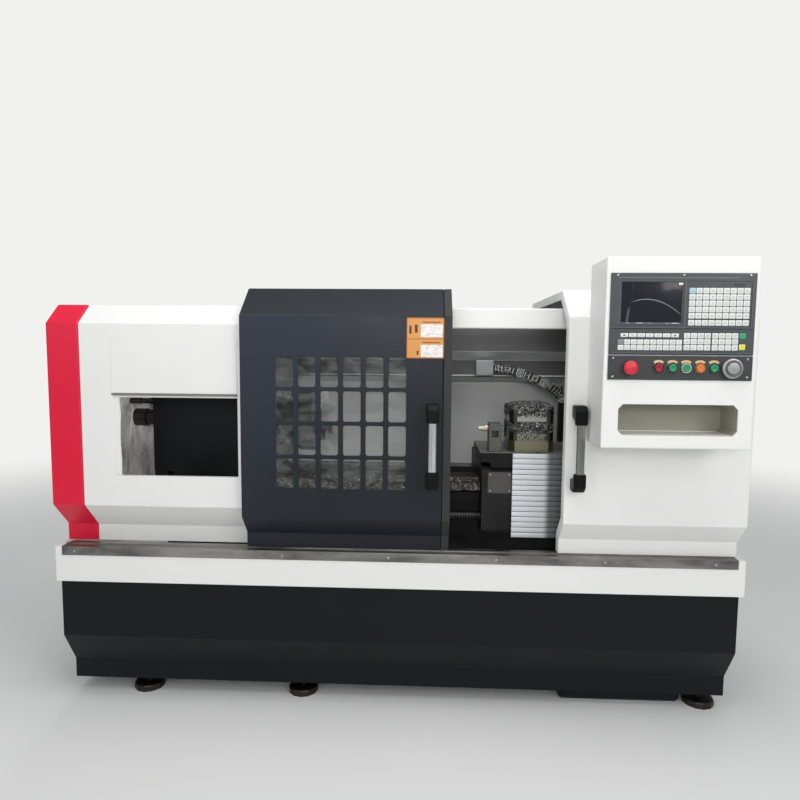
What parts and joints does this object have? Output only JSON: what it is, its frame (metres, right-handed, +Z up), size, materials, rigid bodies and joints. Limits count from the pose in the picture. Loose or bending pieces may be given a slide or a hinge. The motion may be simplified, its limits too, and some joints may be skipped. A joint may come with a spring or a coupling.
{
  "type": "cnc turning lathe",
  "caption": "Flat-bed CNC turning lathe in a folded sheet enclosure with two sliding doors, an operator panel, a chip tray on a dark cabinet and a turret on a cross slide.",
  "frame": {"origin": "on the floor under the middle of the machine's box", "axes": "+X from the headstock to the tailstock, -Y towards the operator, +Z up"},
  "size_m": [2.4, 1.346, 1.5603],
  "materials": {
    "charcoal_paint": "satin powder coat",
    "foot_steel": "blackened, satin",
    "navy_paint": "satin enamel",
    "white_paint": "fine-textured powder coat",
    "stainless": "brushed lengthwise",
    "dark_cast_iron": "oiled and partly machined",
    "ground_steel": "ground",
    "black_steel": "blackened, satin",
    "black_plastic": "satin",
    "motor_grey": "satin",
    "slat_aluminium": "satin anodised",
    "red_paint": "satin powder coat",
    "inner_grey": "satin",
    "clear_pane": "clear",
    "seal_rubber": "matt",
    "screen_glass": "glossy",
    "button_red": "satin",
    "button_green": "satin",
    "button_amber": "satin"
  },
  "bodies": {
    "machine": {"base_cabinet": "charcoal_paint", "levelling_foot_1": "foot_steel", "levelling_foot_2": "foot_steel", "levelling_foot_3": "foot_steel", "levelling_foot_4": "foot_steel", "levelling_foot_5": "foot_steel", "levelling_foot_6": "foot_steel", "coolant_tank": "navy_paint", "chip_tray": "white_paint", "track_strip": "stainless", "bed": "dark_cast_iron", "z_servo_motor": "black_plastic", "headstock": "navy_paint", "belt_guard": "navy_paint", "spindle_motor": "motor_grey", "end_trim": "red_paint", "headstock_cover": "white_paint", "tail_cover": "white_paint", "splash_wall": "inner_grey", "rear_guard": "inner_grey", "front_beam": "white_paint", "roof_rail": "white_paint", "rear_post": "white_paint", "junction_box": "motor_grey", "cable_chain": "black_plastic", "electrical_cabinet": "white_paint"},
    "spindle": {"spindle": "black_steel", "chuck_body": "black_steel"},
    "jaw_1": {"chuck_jaw_1": "ground_steel"},
    "jaw_2": {"chuck_jaw_2": "ground_steel"},
    "jaw_3": {"chuck_jaw_3": "ground_steel"},
    "z_screw": {"z_ball_screw": "ground_steel"},
    "saddle": {"saddle": "dark_cast_iron", "slat_curtain": "slat_aluminium", "x_servo_motor": "black_plastic"},
    "cross_slide": {"cross_slide": "dark_cast_iron", "turret_base": "dark_cast_iron", "coolant_block": "dark_cast_iron"},
    "turret": {"turret_head": "ground_steel"},
    "tailstock": {"tailstock_body": "dark_cast_iron"},
    "quill": {"tailstock_quill": "ground_steel"},
    "tail_wheel": {"tailstock_handwheel": "black_plastic"},
    "left_door": {"left_door": "charcoal_paint", "left_door_window": "clear_pane", "door_seal": "seal_rubber", "left_door_handle": "black_plastic"},
    "right_door": {"right_door": "white_paint", "right_door_handle": "black_plastic", "panel_box": "white_paint", "control_plate": "black_plastic", "display_screen": "screen_glass", "button_plate": "black_plastic"},
    "estop": {"emergency_stop": "button_red"},
    "button_1": {"push_button_1": "button_red"},
    "button_2": {"push_button_2": "button_green"},
    "button_3": {"push_button_3": "button_green"},
    "button_4": {"push_button_4": "button_amber"},
    "button_5": {"push_button_5": "button_green"},
    "dial": {"pulse_dial": "slat_aluminium"},
    "main_switch": {"main_switch": "button_red"}
  },
  "joints": [
    {"name": "spindle_spin", "type": "hinge", "parent": "machine", "child": "spindle", "pos_m": [-0.4307, -0.03695, 0.997], "axis": [1, 0, 0], "continuous": true},
    {"name": "jaw_1_slide", "type": "slide", "parent": "spindle", "child": "jaw_1", "axis": [0, 0, 1], "range_m": [-0.014, 0.01]},
    {"name": "jaw_2_slide", "type": "slide", "parent": "spindle", "child": "jaw_2", "axis": [0, -0.866, -0.5], "range_m": [-0.014, 0.01]},
    {"name": "jaw_3_slide", "type": "slide", "parent": "spindle", "child": "jaw_3", "axis": [0, 0.866, -0.5], "range_m": [-0.014, 0.01]},
    {"name": "saddle_slide", "type": "slide", "parent": "machine", "child": "saddle", "axis": [1, 0, 0], "range_m": [-0.56, 0.05], "deforming": ["cable_chain"]},
    {"name": "z_screw_turn", "type": "hinge", "parent": "machine", "child": "z_screw", "pos_m": [-0.4727, -0.24895, 0.668], "axis": [1, 0, 0], "range_deg": [-20161, 1801]},
    {"name": "cross_slide_slide", "type": "slide", "parent": "saddle", "child": "cross_slide", "axis": [0, 1, 0], "range_m": [0, 0.16]},
    {"name": "turret_turn", "type": "hinge", "parent": "cross_slide", "child": "turret", "pos_m": [0.4924, -0.21195, 0.9576], "axis": [0, 0, 1], "continuous": true},
    {"name": "tailstock_slide", "type": "slide", "parent": "machine", "child": "tailstock", "axis": [1, 0, 0], "range_m": [-0.1, 0]},
    {"name": "quill_slide", "type": "slide", "parent": "tailstock", "child": "quill", "axis": [-1, 0, 0], "range_m": [0, 0.1]},
    {"name": "tail_wheel_turn", "type": "hinge", "parent": "tailstock", "child": "tail_wheel", "pos_m": [1.134, -0.03695, 0.997], "axis": [1, 0, 0], "range_deg": [-1, 7201]},
    {"name": "left_door_slide", "type": "slide", "parent": "machine", "child": "left_door", "axis": [1, 0, 0], "range_m": [-0.55, 0]},
    {"name": "right_door_slide", "type": "slide", "parent": "machine", "child": "right_door", "axis": [1, 0, 0], "range_m": [-0.378, 0]},
    {"name": "estop_push", "type": "slide", "parent": "right_door", "child": "estop", "axis": [0, 1, 0], "range_m": [0, 0.005]},
    {"name": "button_1_push", "type": "slide", "parent": "right_door", "child": "button_1", "axis": [0, 1, 0], "range_m": [0, 0.003], "stiffness_N_per_m": 500},
    {"name": "button_2_push", "type": "slide", "parent": "right_door", "child": "button_2", "axis": [0, 1, 0], "range_m": [0, 0.003], "stiffness_N_per_m": 500},
    {"name": "button_3_push", "type": "slide", "parent": "right_door", "child": "button_3", "axis": [0, 1, 0], "range_m": [0, 0.003], "stiffness_N_per_m": 500},
    {"name": "button_4_push", "type": "slide", "parent": "right_door", "child": "button_4", "axis": [0, 1, 0], "range_m": [0, 0.003], "stiffness_N_per_m": 500},
    {"name": "button_5_push", "type": "slide", "parent": "right_door", "child": "button_5", "axis": [0, 1, 0], "range_m": [0, 0.003], "stiffness_N_per_m": 500},
    {"name": "dial_turn", "type": "hinge", "parent": "right_door", "child": "dial", "pos_m": [1.0105, -0.64855, 1.23255], "axis": [0, 1, 0], "continuous": true},
    {"name": "main_switch_turn", "type": "hinge", "parent": "machine", "child": "main_switch", "pos_m": [0.34, 0.59065, 1.296], "axis": [0, 1, 0], "range_deg": [0, 90]}
  ],
  "couplings": [
    {"joint": "jaw_2_slide", "follows": "jaw_1_slide", "ratio": 1},
    {"joint": "jaw_3_slide", "follows": "jaw_1_slide", "ratio": 1},
    {"joint": "z_screw_turn", "follows": "saddle_slide", "rad_per_m": 628.32},
    {"joint": "tail_wheel_turn", "follows": "quill_slide", "rad_per_m": 1256.6}
  ]
}
